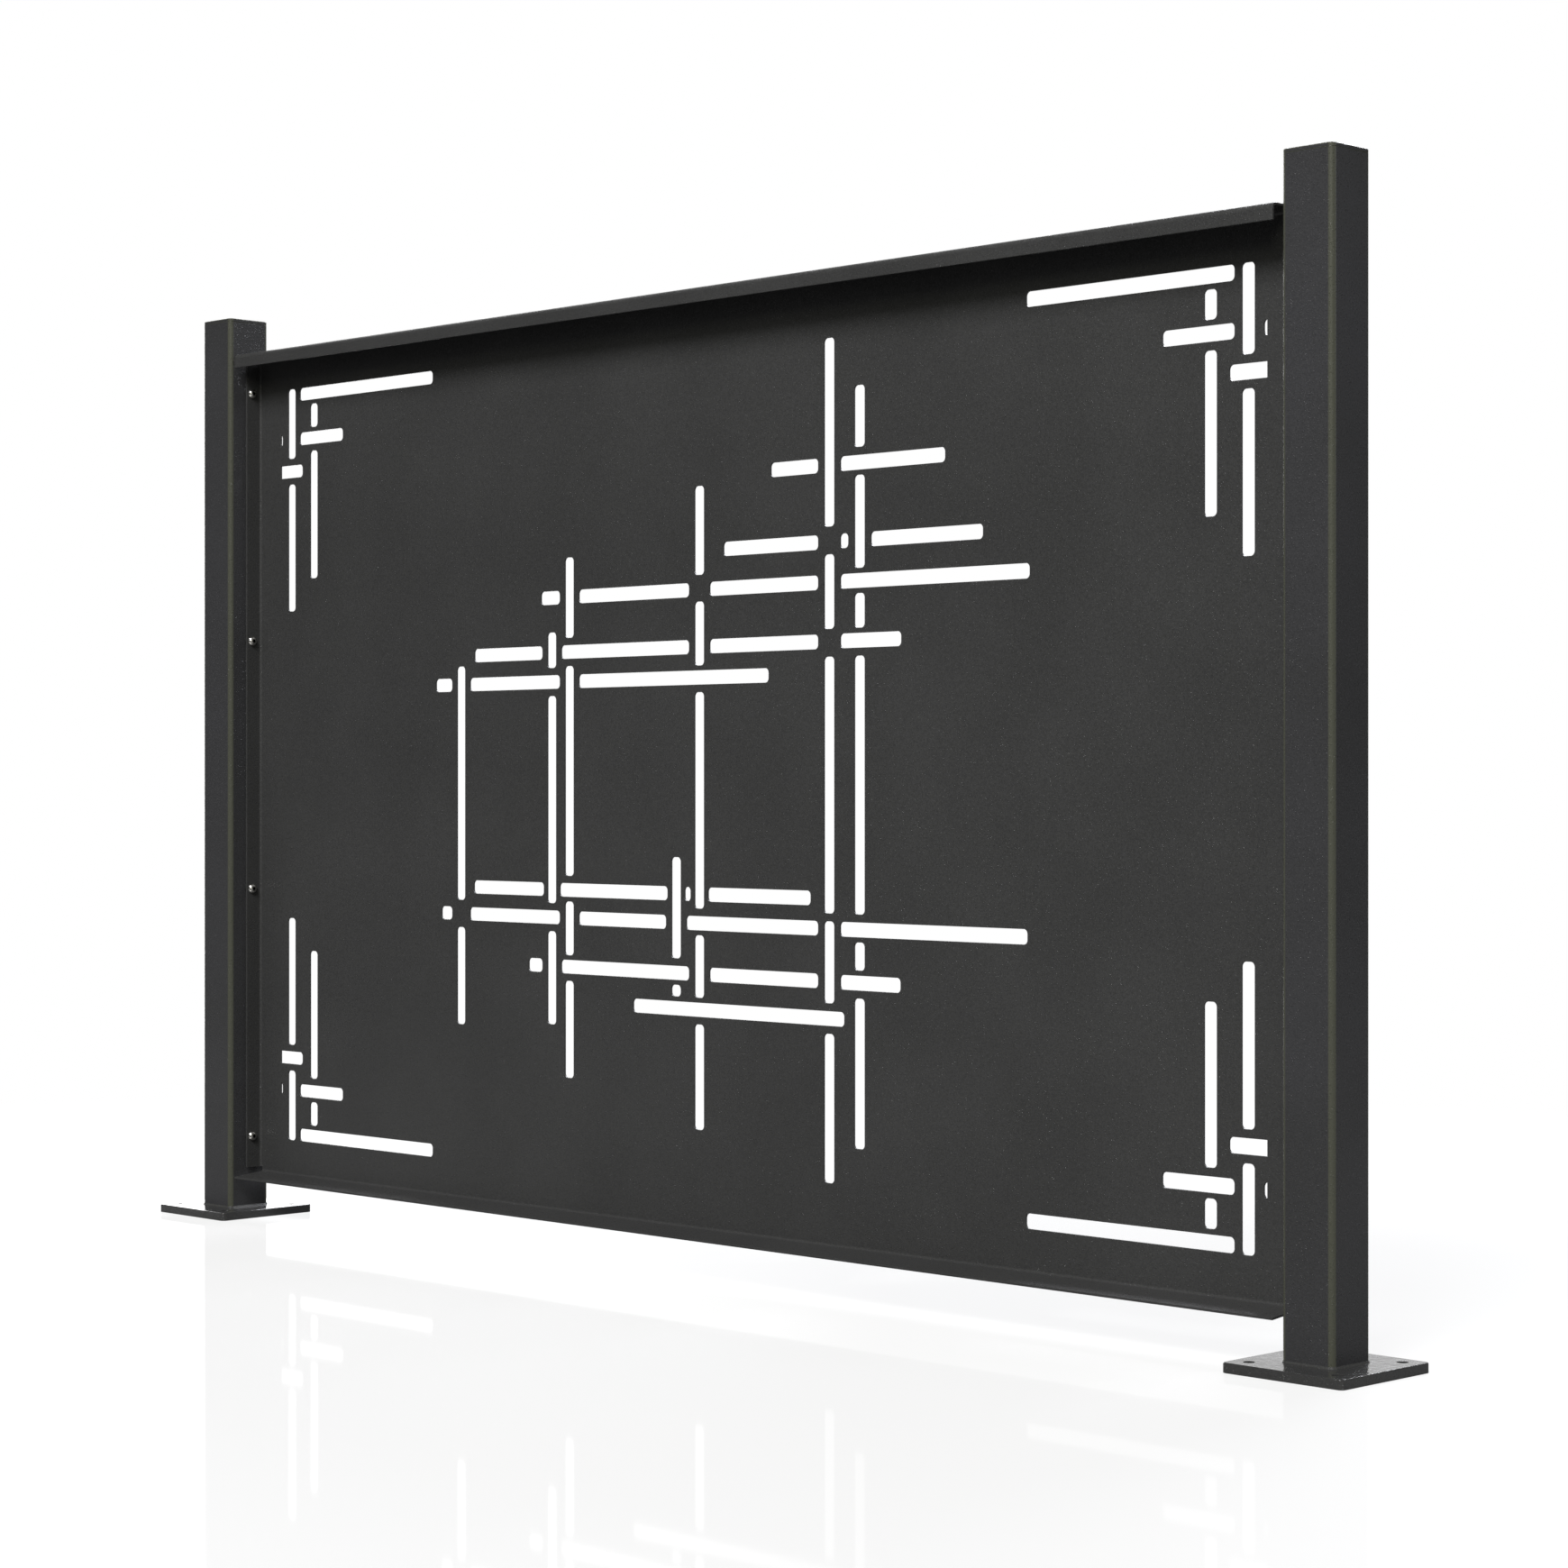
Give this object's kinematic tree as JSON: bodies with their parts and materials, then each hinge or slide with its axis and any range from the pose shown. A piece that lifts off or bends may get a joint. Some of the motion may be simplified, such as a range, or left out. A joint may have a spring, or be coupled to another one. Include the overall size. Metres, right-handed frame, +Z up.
{
  "type": "balustrade bay",
  "caption": "Balustrade bay: a folded sheet panel cut with a pattern of straight slots, screwed between square tube posts on bolt-down base plates.",
  "frame": {"origin": "centre of the left base plate's underside", "axes": "+X along the bay to the right post, +Y to the back of the panel, +Z up"},
  "size_m": [1.87, 0.14, 1.15],
  "materials": {
    "panel_coat": "fine-texture matt powder coat, anthracite",
    "post_coat": "fine-texture matt powder coat, anthracite",
    "base_coat": "fine-texture matt powder coat, anthracite",
    "weld_coat": "powder coat over a small dressed weld, anthracite",
    "screw_steel": "bright stainless steel",
    "spacer_nylon": "black nylon"
  },
  "bodies": {
    "root": {"panel": "panel_coat", "left_post": "post_coat", "left_post_cap": "post_coat", "left_base_plate": "base_coat", "left_foot_weld": "weld_coat", "left_screw_1": "screw_steel", "left_spacer_1": "spacer_nylon", "left_screw_2": "screw_steel", "left_spacer_2": "spacer_nylon", "left_screw_3": "screw_steel", "left_spacer_3": "spacer_nylon", "left_screw_4": "screw_steel", "left_spacer_4": "spacer_nylon", "right_post": "post_coat", "right_post_cap": "post_coat", "right_base_plate": "base_coat", "right_foot_weld": "weld_coat", "right_screw_1": "screw_steel", "right_spacer_1": "spacer_nylon", "right_screw_2": "screw_steel", "right_spacer_2": "spacer_nylon", "right_screw_3": "screw_steel", "right_spacer_3": "spacer_nylon", "right_screw_4": "screw_steel", "right_spacer_4": "spacer_nylon"}
  },
  "joints": []
}
